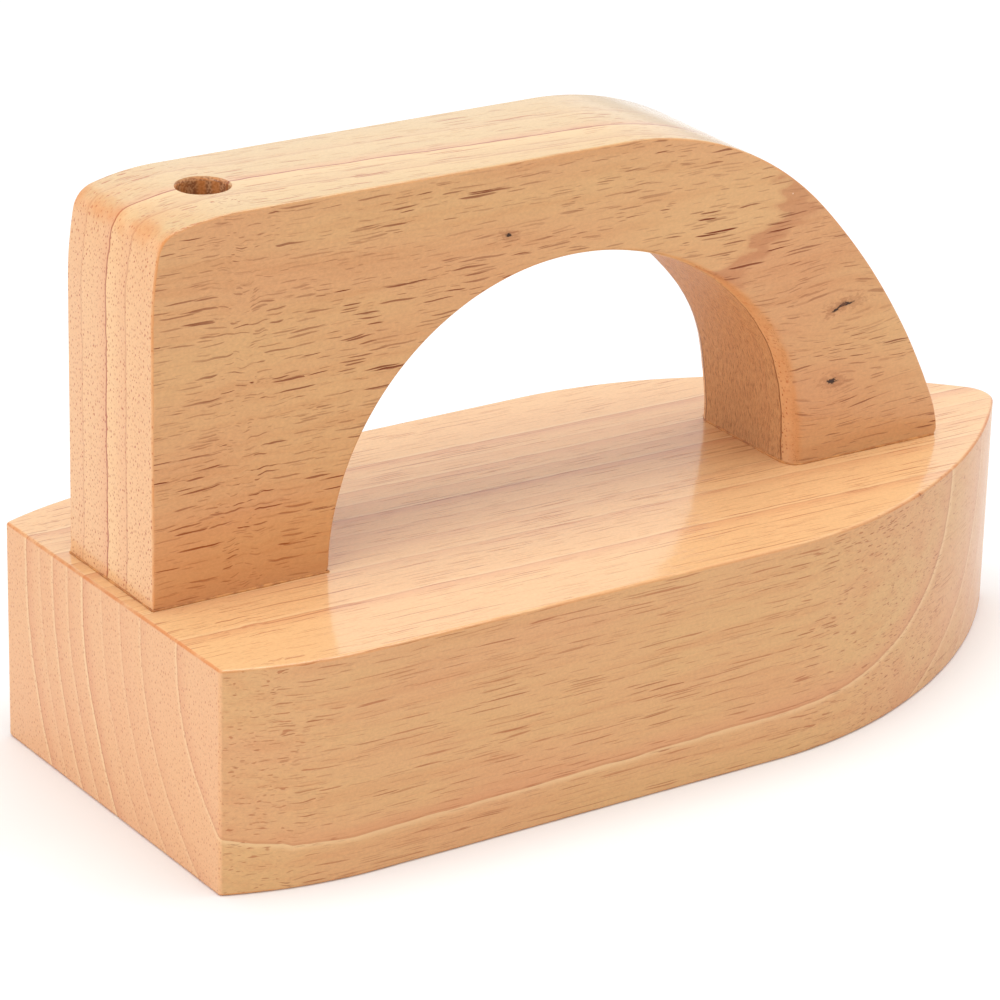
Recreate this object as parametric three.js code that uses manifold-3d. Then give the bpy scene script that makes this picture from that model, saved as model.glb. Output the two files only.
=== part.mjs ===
// A child's wooden play iron: a boat-shaped sole block with an arched handle standing on it.
// Both are cut from pale hardwood board, and glued dowels pin the handle's two feet to the block.
// Units are millimetres. +X points to the nose, +Z up, and the origin is under the middle of the block.

import * as THREE from 'three';
import { mergeVertices } from 'three/addons/utils/BufferGeometryUtils.js';
import Module from 'manifold-3d';

const wasm = await Module();
wasm.setup();

// ---- driving dimensions ----

// Sole block, seen from above: a flat rear end, and sides that swell out, run straight
// and close to a small round nose.
const BLOCK_LENGTH = 150;
const BLOCK_WIDTH = 66.6;
const BLOCK_HEIGHT = 32.4;
const REAR_WIDTH = 58;            // width of the flat rear end
const SWELL_RADIUS = 57;          // arc from the rear corner out to the full width
const STRAIGHT_END = 87.5;        // distance from the rear end at which the sides start to close
const SHOULDER_RADIUS = 67;       // first arc of the closing side
const SHOULDER_TURN = 20;         // degrees turned by that arc
const NOSE_RADIUS = 4.9;
const BLOCK_CORNER = 1.6;         // upright rear corners, sanded round
const BLOCK_EASE = 1.1;           // rounding of the top and bottom edges

// Handle, seen from the side. Distances along it are counted from the block's rear end,
// and heights from the top of the block.
const HANDLE_THICKNESS = 23.2;
const HANDLE_RISE = 53.4;
const HANDLE_REAR = 2.2;          // the upright rear edge
const REAR_ARCS = [[37.5, 15], [3.8, 65], [60, 10]];   // radius and turn, down from the grip
const BROW_START = 75.4;          // where the flat grip starts to fall to the front
const FRONT_ARCS = [[47.7, 46], [107, 21], [21, 21]];  // the same, down to the front foot
const FOOT_CORNER = 1.3;          // rounding of the feet's lower corners

const OPENING_REAR = 29.2;        // rear foot's front edge
const OPENING_RADIUS = 38.6;      // rear and top of the hand opening, close to a half circle
const OPENING_ARCS = [[OPENING_RADIUS, 94], [40.7, 48.5], [26.7, 26.5], [64.5, 11]];

const HANDLE_EASE = 0.9;          // edge rounding of the handle
const FOOT_EASE = 0.5;            // under the feet, where they meet the block
const LEG_EASE = 2.6;             // inner edges of the front leg, rounded more towards its foot

// The handle is glued a little off the block's middle line, and turned by less than a degree.
const HANDLE_OFFSET = 2.4;        // sideways, at the middle of the hand opening
const HANDLE_TURN = -0.8;         // degrees
const GLUE_LINE = 0.1;            // between the block and the feet

// Blind hole for the play cord, drilled down into the grip near its rear end.
const CORD_HOLE_X = 16.3;
const CORD_HOLE_DIAMETER = 7.1;
const CORD_HOLE_DEPTH = 20;

// Fluted dowels, two in each foot.
const DOWEL_PLACES = {
  dowel_rear_outer: 9,
  dowel_rear_inner: 22,
  dowel_front_inner: 112,
  dowel_front_outer: 122.5,
};
const DOWEL_DIAMETER = 8;
const DOWEL_LENGTH = 30;
const DOWEL_IN_HANDLE = 11;
const DOWEL_CHAMFER = 0.9;
const DOWEL_FLUTES = 12;
const FLUTE_DEPTH = 0.4;
const DOWEL_CLEARANCE = 0.15;     // on the radius
const DOWEL_END_ROOM = 1;         // for glue, past each end of a dowel

// Fineness of the faceted surface.
const ARC_STEP = 4.5;             // degrees between the points of an arc
const CORNER_STEP = 20;           // the same on arcs tighter than CORNER_SIZE
const CORNER_SIZE = 6;
const EASE_STEPS = 3;             // faces across a rounded edge
const HOLE_SIDES = 32;
const POINTS_PER_FLUTE = 4;

const { degToRad, clamp, lerp } = THREE.MathUtils;
const REAR_TO_ORIGIN = -BLOCK_LENGTH / 2;
const OPENING_MIDDLE = OPENING_REAR + OPENING_RADIUS;

// ---- outlines ----

const unit = (angle) => new THREE.Vector2(Math.cos(angle), Math.sin(angle));

// Points of a tangent arc that leaves a point along a heading in radians. A positive turn is to the left.
function arcPoints(from, heading, radius, turn) {
  const start = heading - Math.sign(turn) * Math.PI / 2;
  const centre = from.clone().addScaledVector(unit(start), -radius);
  const curve = new THREE.EllipseCurve(centre.x, centre.y, radius, radius, start, start + turn, turn < 0);
  const step = degToRad(radius < CORNER_SIZE ? CORNER_STEP : ARC_STEP);
  return curve.getPoints(Math.max(2, Math.ceil(Math.abs(turn) / step)));
}

// A run of tangent arcs, each [radius, degrees], all turning the same way.
function arcRun(x, y, headingDegrees, side, arcs) {
  const points = [new THREE.Vector2(x, y)];
  let heading = degToRad(headingDegrees);
  for (const [radius, degrees] of arcs) {
    const turn = side * degToRad(degrees);
    points.push(...arcPoints(points.at(-1), heading, radius, turn).slice(1));
    heading += turn;
  }
  return points;
}

// Ends a run of points where it reaches a level: y falls to zero.
function cutAtZero(points) {
  const below = points.findIndex((point, i) => i > 0 && point.y <= 0);
  if (below < 0) {
    return [...points, new THREE.Vector2(points.at(-1).x, 0)];
  }
  const a = points[below - 1];
  const b = points[below];
  return [...points.slice(0, below), a.clone().lerp(b, a.y / (a.y - b.y))];
}

// The angle by which a closed outline turns at one of its points.
function turnAt(points, i) {
  const into = points[i].clone().sub(points.at(i - 1));
  const out = points[(i + 1) % points.length].clone().sub(points[i]);
  return Math.atan2(into.cross(out), into.dot(out));
}

// Replaces each sharp corner of a closed outline by an arc. Points too near a corner give way to it.
function roundCorners(points, radius) {
  const corners = points.filter((_, i) => Math.abs(turnAt(points, i)) > degToRad(45));
  const kept = points.filter((point) => corners.every(
    (corner) => point === corner || point.distanceTo(corner) > 1.5 * radius));
  return kept.flatMap((point, i) => {
    if (!corners.includes(point)) {
      return [point];
    }
    const turn = turnAt(kept, i);
    const into = point.clone().sub(kept.at(i - 1)).normalize();
    const start = point.clone().addScaledVector(into, -radius * Math.tan(Math.abs(turn) / 2));
    return arcPoints(start, into.angle(), radius, turn);
  });
}

// Half of the block's outline runs from the nose tip to the rear corner; the other half mirrors it.
function blockOutline() {
  const half = BLOCK_WIDTH / 2;
  const swellStart = Math.sqrt(SWELL_RADIUS ** 2 - (SWELL_RADIUS - half + REAR_WIDTH / 2) ** 2);
  const swellTurn = Math.asin(swellStart / SWELL_RADIUS);

  // The side's long arc joins the shoulder arc to the nose, tangent to both.
  const turn = degToRad(SHOULDER_TURN);
  const shoulderX = STRAIGHT_END + SHOULDER_RADIUS * Math.sin(turn);
  const shoulderY = half - SHOULDER_RADIUS * (1 - Math.cos(turn));
  const reach = BLOCK_LENGTH - NOSE_RADIUS - shoulderX;
  const sideRadius = (reach ** 2 + shoulderY ** 2 - NOSE_RADIUS ** 2)
    / (2 * (shoulderY * Math.cos(turn) - reach * Math.sin(turn) - NOSE_RADIUS));
  const noseTurn = Math.acos((sideRadius * Math.cos(turn) - shoulderY) / (sideRadius - NOSE_RADIUS));

  const front = arcRun(BLOCK_LENGTH, 0, 90, 1, [
    [NOSE_RADIUS, 90 - THREE.MathUtils.radToDeg(noseTurn)],
    [sideRadius, THREE.MathUtils.radToDeg(noseTurn) - SHOULDER_TURN],
    [SHOULDER_RADIUS, SHOULDER_TURN],
  ]);
  const rear = arcRun(swellStart, half, 180, 1, [[SWELL_RADIUS, THREE.MathUtils.radToDeg(swellTurn)]]);
  const side = [...front, ...rear];
  const mirrored = side.slice(1).reverse().map((point) => new THREE.Vector2(point.x, -point.y));
  return roundCorners([...side, ...mirrored], BLOCK_CORNER);
}

// The handle's outline from the side: under the rear foot, round the opening, under the front foot,
// up the front, back along the grip and down the rear.
function handleOutline() {
  const opening = cutAtZero(arcRun(OPENING_REAR, 0, 90, -1, OPENING_ARCS));
  const front = cutAtZero(arcRun(BROW_START, HANDLE_RISE, 0, -1, FRONT_ARCS)).reverse();
  const down = arcRun(0, 0, 180, 1, REAR_ARCS);
  const rear = down.map((point) => point.clone().add(
    new THREE.Vector2(HANDLE_REAR - down.at(-1).x, HANDLE_RISE)));
  const foot = new THREE.Vector2(HANDLE_REAR, 0);
  return roundCorners([foot, ...opening, ...front, ...rear], FOOT_CORNER);
}

// Edge rounding at a point of the handle's outline.
function handleEase(point) {
  const fromMiddle = point.x - OPENING_MIDDLE;
  const onOpening = Math.hypot(fromMiddle, point.y) < OPENING_RADIUS + CORNER_SIZE;
  const down = onOpening ? clamp(fromMiddle / OPENING_RADIUS, 0, 1) : 0;
  const ease = lerp(HANDLE_EASE, LEG_EASE, down * down);
  return lerp(FOOT_EASE, ease, clamp(point.y / FOOT_CORNER, 0, 1));
}

// ---- solids ----

// A board cut to a counter-clockwise outline, lying between two heights, with rounded edges.
// The rounding's radius can change along the outline.
function easedBoard(outline, low, high, easeAt) {
  const count = outline.length;
  const normals = outline.map((point, i) => {
    const along = outline[(i + 1) % count].clone().sub(outline[(i + count - 1) % count]);
    return new THREE.Vector2(along.y, -along.x).normalize();
  });
  const ring = (angle, level, side) => outline.map((point, i) => {
    const ease = easeAt(point);
    const inset = point.clone().addScaledVector(normals[i], -ease * (1 - Math.cos(angle)));
    return new THREE.Vector3(inset.x, inset.y, level + side * ease * (1 - Math.sin(angle)));
  });

  const rings = [];
  for (let step = 0; step <= EASE_STEPS; step += 1) {
    rings.push(ring((1 - step / EASE_STEPS) * Math.PI / 2, low, 1));
  }
  for (let step = 0; step <= EASE_STEPS; step += 1) {
    rings.push(ring((step / EASE_STEPS) * Math.PI / 2, high, -1));
  }

  const faces = [];
  for (let row = 0; row + 1 < rings.length; row += 1) {
    for (let i = 0; i < count; i += 1) {
      const next = (i + 1) % count;
      const a = row * count + i;
      const b = row * count + next;
      faces.push(a, b, b + count, a, b + count, a + count);
    }
  }
  const top = (rings.length - 1) * count;
  const cap = THREE.ShapeUtils.triangulateShape(rings[0].map(({ x, y }) => new THREE.Vector2(x, y)), []);
  for (const [a, b, c] of cap) {
    faces.push(c, b, a);
    faces.push(top + a, top + b, top + c);
  }

  const geometry = new THREE.BufferGeometry().setFromPoints(rings.flat());
  geometry.setIndex(faces);
  return geometry;
}

function toManifold(geometry) {
  const bare = geometry.clone();
  bare.deleteAttribute('normal');
  bare.deleteAttribute('uv');
  const merged = mergeVertices(bare, 1e-4);
  return new wasm.Manifold(new wasm.Mesh({
    numProp: 3,
    vertProperties: new Float32Array(merged.attributes.position.array),
    triVerts: new Uint32Array(merged.index.array),
  }));
}

function toGeometry(manifold) {
  const mesh = manifold.getMesh();
  const geometry = new THREE.BufferGeometry();
  geometry.setAttribute('position', new THREE.BufferAttribute(mesh.vertProperties, 3));
  geometry.setIndex(new THREE.BufferAttribute(mesh.triVerts, 1));
  geometry.computeVertexNormals();
  return geometry;
}

function drill(geometry, drills) {
  const holes = drills.map(toManifold);
  return toGeometry(holes.reduce((solid, hole) => solid.subtract(hole), toManifold(geometry)));
}

// An upright drill that cuts a hole of a diameter between two heights. Its flats clear that diameter.
function uprightDrill(x, y, diameter, low, high) {
  const radius = diameter / 2 / Math.cos(Math.PI / HOLE_SIDES);
  const geometry = new THREE.CylinderGeometry(radius, radius, high - low, HOLE_SIDES);
  geometry.rotateX(Math.PI / 2);
  geometry.translate(x, y, (low + high) / 2);
  return geometry;
}

function dowelDrill(x, y, top) {
  const low = top + DOWEL_IN_HANDLE - DOWEL_LENGTH - DOWEL_END_ROOM;
  const high = top + DOWEL_IN_HANDLE + DOWEL_END_ROOM;
  return uprightDrill(x, y, DOWEL_DIAMETER + 2 * DOWEL_CLEARANCE, low, high);
}

// A place along the handle's middle line, in the block's frame.
function onHandle(x) {
  const middle = new THREE.Vector2(REAR_TO_ORIGIN + OPENING_MIDDLE, HANDLE_OFFSET);
  return middle.addScaledVector(unit(degToRad(HANDLE_TURN)), x - OPENING_MIDDLE);
}

function soleBlock() {
  const outline = blockOutline().map((point) => point.add(new THREE.Vector2(REAR_TO_ORIGIN, 0)));
  const board = easedBoard(outline, 0, BLOCK_HEIGHT, () => BLOCK_EASE);
  const holes = Object.values(DOWEL_PLACES).map((x) => {
    const place = onHandle(x);
    return dowelDrill(place.x, place.y, BLOCK_HEIGHT);
  });
  return drill(board, holes);
}

// Made in its own frame: x from the block's rear end, z from under its feet.
function archHandle() {
  const board = easedBoard(handleOutline(), -HANDLE_THICKNESS / 2, HANDLE_THICKNESS / 2, handleEase);
  board.rotateX(Math.PI / 2);
  const cordHole = uprightDrill(
    CORD_HOLE_X, 0, CORD_HOLE_DIAMETER, HANDLE_RISE - CORD_HOLE_DEPTH, HANDLE_RISE + 1);
  const holes = Object.values(DOWEL_PLACES).map((x) => dowelDrill(x, 0, 0));
  const cut = drill(board, [cordHole, ...holes]);
  cut.translate(-OPENING_MIDDLE, 0, 0);
  return cut;
}

// A fluted dowel standing on the origin, with chamfered ends.
function dowel() {
  const count = DOWEL_FLUTES * POINTS_PER_FLUTE;
  const section = Array.from({ length: count }, (_, i) => {
    const around = (i / count) * 2 * Math.PI;
    const flute = Math.max(0, Math.cos(around * DOWEL_FLUTES));
    return unit(around).multiplyScalar(DOWEL_DIAMETER / 2 - FLUTE_DEPTH * flute);
  });
  const geometry = new THREE.ExtrudeGeometry(new THREE.Shape(section), {
    depth: DOWEL_LENGTH - 2 * DOWEL_CHAMFER,
    bevelThickness: DOWEL_CHAMFER,
    bevelSize: DOWEL_CHAMFER,
    bevelOffset: -DOWEL_CHAMFER,
    bevelSegments: 1,
  });
  geometry.translate(0, 0, DOWEL_CHAMFER);
  return toGeometry(toManifold(geometry));
}

function named(name, geometry, color, roughness) {
  const material = new THREE.MeshStandardMaterial({ color, roughness, metalness: 0 });
  const mesh = new THREE.Mesh(geometry, material);
  mesh.name = name;
  return mesh;
}

// ---- assembly ----

const group = new THREE.Group();

group.add(named('sole_block', soleBlock(), 0xe2b27c, 0.35));

const handle = named('arch_handle', archHandle(), 0xd9a66c, 0.4);
handle.position.set(REAR_TO_ORIGIN + OPENING_MIDDLE, HANDLE_OFFSET, BLOCK_HEIGHT + GLUE_LINE);
handle.rotation.z = degToRad(HANDLE_TURN);
group.add(handle);

for (const [name, x] of Object.entries(DOWEL_PLACES)) {
  const pin = named(name, dowel(), 0xe8cfa4, 0.6);
  const place = onHandle(x);
  pin.position.set(place.x, place.y, BLOCK_HEIGHT + DOWEL_IN_HANDLE - DOWEL_LENGTH);
  group.add(pin);
}

export default group;
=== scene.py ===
"""A child's wooden play iron: a boat-shaped sole block with an arched handle glued on top of it.

Both boards are cut, eased and drilled here at a finer step than in the CAD frame, and four fluted
dowels sit inside the joint. Sizes in the upper part are millimetres; objects are in metres.
"""

import math
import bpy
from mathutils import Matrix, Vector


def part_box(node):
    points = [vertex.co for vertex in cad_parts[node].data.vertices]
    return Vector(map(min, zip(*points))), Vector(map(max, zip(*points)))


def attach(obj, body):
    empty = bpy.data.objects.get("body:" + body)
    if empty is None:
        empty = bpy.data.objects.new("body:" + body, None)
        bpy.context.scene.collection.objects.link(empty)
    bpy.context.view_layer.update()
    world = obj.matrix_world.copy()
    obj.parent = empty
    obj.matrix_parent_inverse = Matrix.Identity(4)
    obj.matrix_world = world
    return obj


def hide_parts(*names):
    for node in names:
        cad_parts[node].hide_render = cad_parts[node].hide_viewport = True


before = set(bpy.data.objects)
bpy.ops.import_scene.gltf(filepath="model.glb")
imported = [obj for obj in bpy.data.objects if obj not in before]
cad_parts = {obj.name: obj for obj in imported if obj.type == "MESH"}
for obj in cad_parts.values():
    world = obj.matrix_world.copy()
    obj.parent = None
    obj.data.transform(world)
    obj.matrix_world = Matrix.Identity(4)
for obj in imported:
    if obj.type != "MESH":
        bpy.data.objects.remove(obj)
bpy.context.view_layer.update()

from types import SimpleNamespace

import bmesh
import bpy
from mathutils import Euler, Vector

MM = 0.001

# ---- sizes, in millimetres ----

block_low, block_high = (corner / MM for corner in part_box("sole_block"))
REAR_END = block_low.x
BLOCK_LENGTH = block_high.x - block_low.x
BLOCK_WIDTH = block_high.y - block_low.y
BLOCK_HEIGHT = block_high.z - block_low.z
REAR_WIDTH = 58.0  # width of the flat rear end
SWELL_RADIUS = 57.0  # arc from the rear corner out to the full width
STRAIGHT_END = 87.5  # where the sides start to close, from the rear end
SHOULDER_RADIUS = 67.0
SHOULDER_TURN = math.radians(20)
NOSE_RADIUS = 4.9
BLOCK_CORNER = 0.8
BLOCK_EASE = 0.5

HANDLE_THICKNESS = 23.2
HANDLE_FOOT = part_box("arch_handle")[0].z / MM
HANDLE_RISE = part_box("arch_handle")[1].z / MM - HANDLE_FOOT
FOOT_PRESS = 0.05  # how far clamping presses the feet into the block
FOOT_LEVEL = BLOCK_HEIGHT - FOOT_PRESS - HANDLE_FOOT  # the feet reach down to the block
HANDLE_REAR = 2.2
REAR_ARCS = [(37.5, 15), (3.8, 65), (60, 10)]  # radius and turn, down from the grip
BROW_START = 75.4
FRONT_ARCS = [(47.7, 46), (107, 21), (21, 21)]  # the same, down to the front foot
FOOT_CORNER = 1.3
REAR_FOOT_CORNER = 0.1
LEG_FOOT_CORNER = 0.04
OPENING_REAR = 29.2
OPENING_RADIUS = 38.6
OPENING_ARCS = [(OPENING_RADIUS, 94), (40.7, 48.5), (26.7, 26.5), (64.5, 11)]
HANDLE_EASE = 0.4
FOOT_EASE = 0.02
LEG_EASE = 2.6  # the inner edges of the front leg, at its foot
LEG_START = 0.9  # the leg starts at this share of the way from the opening's middle to its end
LEG_FULL_EASE = 0.9 * LEG_FOOT_CORNER  # from this height up the leg has its whole ease
EASE_BLEND = 6.0  # how near the opening a point lies to take the opening's ease

OPENING_MIDDLE = OPENING_REAR + OPENING_RADIUS
HANDLE_OFFSET = 2.4  # the handle stands this far off the block's middle line
HANDLE_TURN = math.radians(-0.8)

CORD_HOLE_X = 16.3
CORD_HOLE_RADIUS = 3.55
CORD_HOLE_DEPTH = 20.0
MOUTH_EASE = 0.6  # the hole's mouth, broken by sandpaper
DRILL_POINT = 1.6  # height of the cone that the drill leaves at the bottom
MOUTH_ANGLES = (0, 15, 30, 45)  # degrees; the mouth meets the top at a crisp angle
DRILL_COLLAR = 1.0  # the drill stands this far above the mouth, and out round it
HOLE_SIDES = 96

DOWEL_PLACES = {
    "dowel_rear_outer": 9.0,
    "dowel_rear_inner": 22.0,
    "dowel_front_inner": 112.0,
    "dowel_front_outer": 122.5,
}
DOWEL_RADIUS = 4.0
DOWEL_LENGTH = 30.0
DOWEL_IN_HANDLE = 11.0
DOWEL_CHAMFER = 0.9
DOWEL_ROWS = 6  # a pole and the two rims of a chamfer, at either end
DOWEL_FLUTES = 12
FLUTE_DEPTH = 0.4
DOWEL_CLEARANCE = 0.15
DOWEL_END_ROOM = 1.0

GLUE_RADIUS = 0.2  # squeezed out under the feet, and lacquered over

OUTLINE_STEP = 0.6  # about how far apart an outline's points are
FEWEST_ARC_STEPS = 8
CORNER_TURN = math.radians(45)  # an outline that turns more than this has a corner there
CORNER_ROOM = 1.5  # points within this many radii of a corner give way to its arc
CRISP_ANGLE = math.radians(38)
SLIVER = 0.002  # points nearer together than this are joined
SEAM_REACH = 1e-6  # metres; the same, where a seam closes
SANDING_SCALE = 160.0  # per metre
SIDES_APART = 0.05  # metres between the two sides' patterns of sanding

# ---- camera, light and floor ----

CAMERA_PLACE = (-0.35113, -0.49678, 0.27865)
CAMERA_TURN = (67.7605, -1.3561, -33.7279)  # degrees
LENS = 167.16

FLOOR_HALF = 4.0  # metres
DOME_STRENGTH = 0.75
PAPER_SHADE = 0.94
OVERHEAD_POWER = 5.8  # watts
LEFT_POWER = 1.7
BACK_POWER = 1.0


def placed(name, data):
    """A new object in the scene."""
    thing = bpy.data.objects.new(name, data)
    bpy.context.scene.collection.objects.link(thing)
    return thing


def make_camera():
    data = bpy.data.cameras.new("camera")
    data.lens = LENS
    data.clip_start = 0.02
    data.clip_end = 50
    camera = placed("camera", data)
    camera.location = CAMERA_PLACE
    camera.rotation_euler = [math.radians(angle) for angle in CAMERA_TURN]
    bpy.context.scene.camera = camera


# ---- building node trees ----

class Nodes:
    """Adds nodes to a tree. An input is given as a number, a vector or another node's output."""

    def __init__(self, tree):
        self.tree = tree

    def feed(self, socket, value):
        if isinstance(value, bpy.types.NodeSocket):
            self.tree.links.new(value, socket)
        else:
            socket.default_value = value

    def add(self, kind, inputs=None, **settings):
        node = self.tree.nodes.new(kind)
        for name, value in settings.items():
            setattr(node, name, value)
        for key, value in (inputs or {}).items():
            self.feed(node.inputs[key], value)
        return node

    def out(self, kind, inputs=None, **settings):
        """The first output of a new node."""
        return self.add(kind, inputs, **settings).outputs[0]

    def math(self, operation, *values, clamp=False):
        inputs = dict(enumerate(values))
        return self.out("ShaderNodeMath", inputs, operation=operation, use_clamp=clamp)

    def times(self, a, b, clamp=False):
        return self.math("MULTIPLY", a, b, clamp=clamp)

    def over(self, a, b, clamp=False):
        return self.math("DIVIDE", a, b, clamp=clamp)

    def plus(self, a, b):
        return self.math("ADD", a, b)

    def minus(self, a, b):
        return self.math("SUBTRACT", a, b)

    def times_plus(self, a, b, c, clamp=False):
        return self.math("MULTIPLY_ADD", a, b, c, clamp=clamp)

    def vector(self, operation, *values):
        node = self.add("ShaderNodeVectorMath", dict(enumerate(values)), operation=operation)
        return node.outputs["Value" if operation in ("LENGTH", "DOT_PRODUCT") else "Vector"]

    def join(self, x, y, z):
        return self.out("ShaderNodeCombineXYZ", {0: x, 1: y, 2: z})

    def split(self, vector):
        return self.add("ShaderNodeSeparateXYZ", {0: vector}).outputs


# ---- outlines, in millimetres ----

def unit(angle):
    return Vector((math.cos(angle), math.sin(angle)))


def arc_points(start, heading, radius, turn):
    """Points of a tangent arc that leaves a point along a heading. A positive turn is to the left."""
    first = heading - math.copysign(math.pi / 2, turn)
    centre = start - radius * unit(first)
    steps = max(FEWEST_ARC_STEPS, math.ceil(abs(turn) * radius / OUTLINE_STEP))
    return [centre + radius * unit(first + turn * i / steps) for i in range(steps + 1)]


def arc_run(start, heading, side, arcs):
    """A run of tangent arcs, each (radius, turn in radians), all turning the same way."""
    points = [Vector(start)]
    for radius, turn in arcs:
        points += arc_points(points[-1], heading, radius, side * turn)[1:]
        heading += side * turn
    return points


def in_radians(arcs):
    return [(radius, math.radians(turn)) for radius, turn in arcs]


def cut_at_foot(points):
    """Ends a run of points where it comes down to the level of the feet."""
    for i in range(1, len(points)):
        a, b = points[i - 1], points[i]
        if b.y <= FOOT_LEVEL:
            return points[:i] + [a.lerp(b, (a.y - FOOT_LEVEL) / (a.y - b.y))]
    return points + [Vector((points[-1].x, FOOT_LEVEL))]


def turn_at(points, i):
    into = points[i] - points[i - 1]
    out = points[(i + 1) % len(points)] - points[i]
    return math.atan2(into.x * out.y - into.y * out.x, into.dot(out))


def round_corners(points, radius_at):
    """Replaces each sharp corner of a closed outline by an arc. Points too near a corner give way."""
    corners = [i for i in range(len(points)) if abs(turn_at(points, i)) > CORNER_TURN]
    places = [points[i] for i in corners]
    kept = [p for i, p in enumerate(points)
            if i in corners or all((p - c).length > CORNER_ROOM * radius_at(c) for c in places)]
    rounded = []
    for i, point in enumerate(kept):
        if not any(point is place for place in places):
            rounded.append(point)
            continue
        turn = turn_at(kept, i)
        radius = radius_at(point)
        into = (point - kept[i - 1]).normalized()
        start = point - into * radius * math.tan(abs(turn) / 2)
        rounded += arc_points(start, math.atan2(into.y, into.x), radius, turn)
    return rounded


def fill_straights(points):
    """Adds points along the straight stretches, so that every step is short."""
    filled = []
    for i, point in enumerate(points):
        after = points[(i + 1) % len(points)]
        steps = max(1, round((after - point).length / OUTLINE_STEP))
        filled += [point.lerp(after, j / steps) for j in range(steps)]
    return filled


def block_outline():
    """From the nose tip to the rear corner, then mirrored."""
    half = BLOCK_WIDTH / 2
    swell_start = math.sqrt(SWELL_RADIUS ** 2 - (SWELL_RADIUS - half + REAR_WIDTH / 2) ** 2)
    swell_turn = math.asin(swell_start / SWELL_RADIUS)

    # The side's long arc joins the shoulder arc to the nose, tangent to both.
    cos, sin = math.cos(SHOULDER_TURN), math.sin(SHOULDER_TURN)
    shoulder_y = half - SHOULDER_RADIUS * (1 - cos)
    reach = BLOCK_LENGTH - NOSE_RADIUS - STRAIGHT_END - SHOULDER_RADIUS * sin
    side_radius = ((reach ** 2 + shoulder_y ** 2 - NOSE_RADIUS ** 2)
                   / (2 * (shoulder_y * cos - reach * sin - NOSE_RADIUS)))
    nose_turn = math.acos((side_radius * cos - shoulder_y) / (side_radius - NOSE_RADIUS))

    front = arc_run((BLOCK_LENGTH, 0), math.pi / 2, 1, [
        (NOSE_RADIUS, math.pi / 2 - nose_turn),
        (side_radius, nose_turn - SHOULDER_TURN),
        (SHOULDER_RADIUS, SHOULDER_TURN),
    ])
    rear = arc_run((swell_start, half), math.pi, 1, [(SWELL_RADIUS, swell_turn)])
    side = front + rear
    mirrored = [Vector((point.x, -point.y)) for point in reversed(side[1:])]
    return fill_straights(round_corners(side + mirrored, lambda corner: BLOCK_CORNER))


def foot_corner(corner):
    """The rear foot is square at its rear, and the front foot nearly so at the opening. The other
    corners of the feet are rounded over."""
    if corner.x < HANDLE_REAR + FOOT_CORNER:
        return REAR_FOOT_CORNER
    by_leg = abs(corner.x - OPENING_MIDDLE - OPENING_RADIUS) < EASE_BLEND
    return LEG_FOOT_CORNER if by_leg else FOOT_CORNER


def handle_outline():
    """Seen from the side: under the rear foot, round the opening, up the front and back along the grip."""
    opening = cut_at_foot(arc_run((OPENING_REAR, 0), math.pi / 2, -1, in_radians(OPENING_ARCS)))
    front = cut_at_foot(arc_run((BROW_START, HANDLE_RISE), 0, -1, in_radians(FRONT_ARCS)))
    down = arc_run((0, 0), math.pi, 1, in_radians(REAR_ARCS))
    rear = [point + Vector((HANDLE_REAR - down[-1].x, HANDLE_RISE)) for point in down]
    feet = [Vector((HANDLE_REAR, FOOT_LEVEL)), Vector((OPENING_REAR, FOOT_LEVEL))]
    return fill_straights(round_corners(feet + opening[1:] + front[::-1] + rear, foot_corner))


def handle_ease(point):
    """Edge rounding at a point of the handle's outline."""
    from_middle = point.x - OPENING_MIDDLE
    on_opening = math.hypot(from_middle, point.y) < OPENING_RADIUS + EASE_BLEND
    down = min(max(from_middle / OPENING_RADIUS, 0), 1) if on_opening else 0
    ease = HANDLE_EASE + (LEG_EASE - HANDLE_EASE) * down * down
    height = point.y - FOOT_LEVEL

    # The leg's broad rounding runs to the very foot. Elsewhere the ease dies away round the corner.
    if down > LEG_START:
        return ease if height > LEG_FULL_EASE else FOOT_EASE
    return FOOT_EASE + (ease - FOOT_EASE) * min(max(height / FOOT_CORNER, 0), 1)


# ---- the board tree ----

def outline_object(name, points, ease_at):
    """A closed run of points in the XY plane, each with the rounding that its edge gets."""
    mesh = bpy.data.meshes.new(name)
    count = len(points)
    edges = [(i, (i + 1) % count) for i in range(count)]
    mesh.from_pydata([(p.x * MM, p.y * MM, 0) for p in points], edges, [])
    ease = mesh.attributes.new("ease", "FLOAT", "POINT")
    ease.data.foreach_set("value", [ease_at(p) * MM for p in points])
    return placed(name, mesh)


def socket_of(tree, name):
    return next(s.identifier for s in tree.interface.items_tree
                if s.item_type == "SOCKET" and s.in_out == "INPUT" and s.name == name)


def add_sockets(tree, inputs, output):
    for name, kind, value in inputs:
        socket = tree.interface.new_socket(name, in_out="INPUT", socket_type="NodeSocket" + kind)
        if value is not None:
            socket.default_value = value
    tree.interface.new_socket(output, in_out="OUTPUT", socket_type="NodeSocketGeometry")


def close_tree(n, geometry, material, output):
    """Every tree ends alike: smooth, real geometry with its material."""
    smooth = n.out("GeometryNodeSetShadeSmooth", {"Geometry": geometry})
    real = n.out("GeometryNodeRealizeInstances", {"Geometry": smooth})
    dressed = n.out("GeometryNodeSetMaterial", {"Geometry": real, "Material": material})
    n.add("NodeGroupOutput", {output: dressed})


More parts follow.
